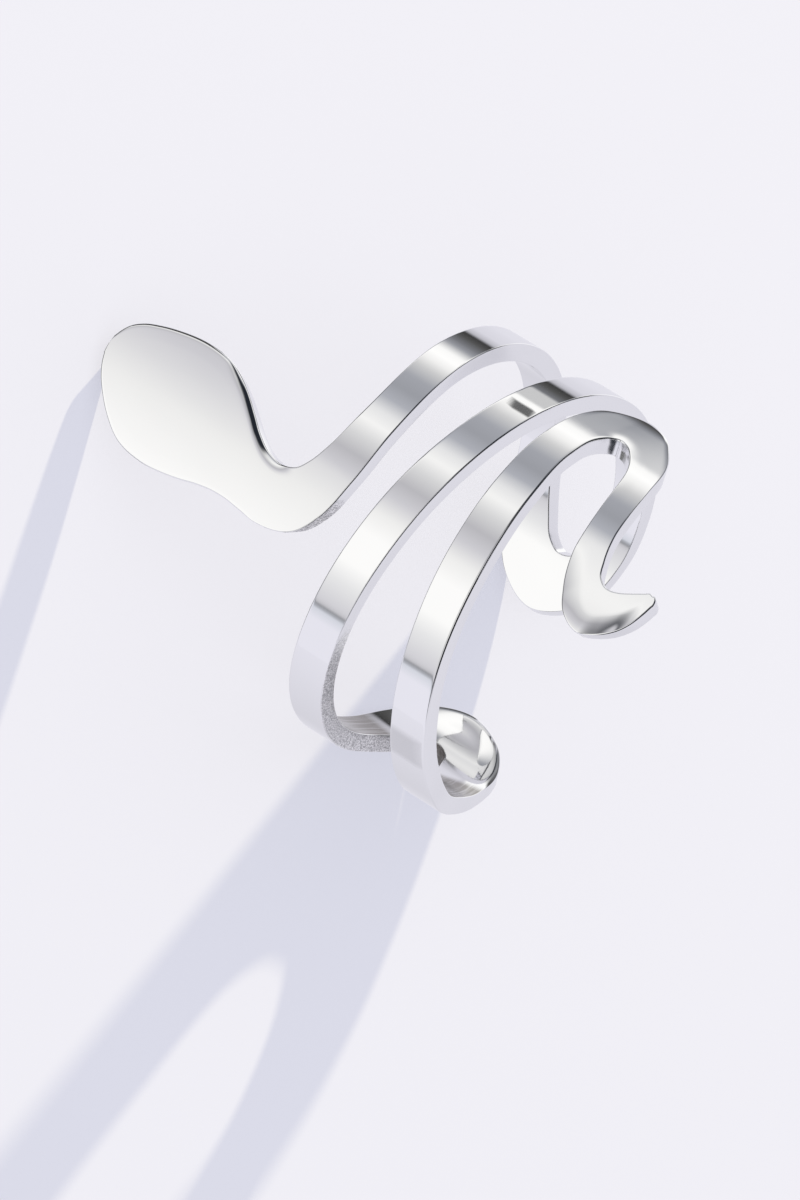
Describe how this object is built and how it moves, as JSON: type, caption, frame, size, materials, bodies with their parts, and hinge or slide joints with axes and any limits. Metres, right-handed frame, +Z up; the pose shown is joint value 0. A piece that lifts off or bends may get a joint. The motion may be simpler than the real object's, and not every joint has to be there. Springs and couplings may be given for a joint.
{
  "type": "snake ring",
  "caption": "Open wrap ring of polished steel: one flat strip, a spoon-shaped snake head at one end and a hooked tail at the other, wound back and forth round the finger.",
  "frame": {"origin": "centre of the footprint's box, on the surface that the ring lies on", "axes": "+Z up, with the ring lying on its side, snout down; the finger's axis leans 40.5 degrees from +Z towards -X"},
  "size_m": [0.0256, 0.019, 0.022],
  "materials": {
    "polished_steel": "mirror-polished stainless steel"
  },
  "bodies": {
    "root": {"snake_band": "polished_steel"}
  },
  "joints": []
}
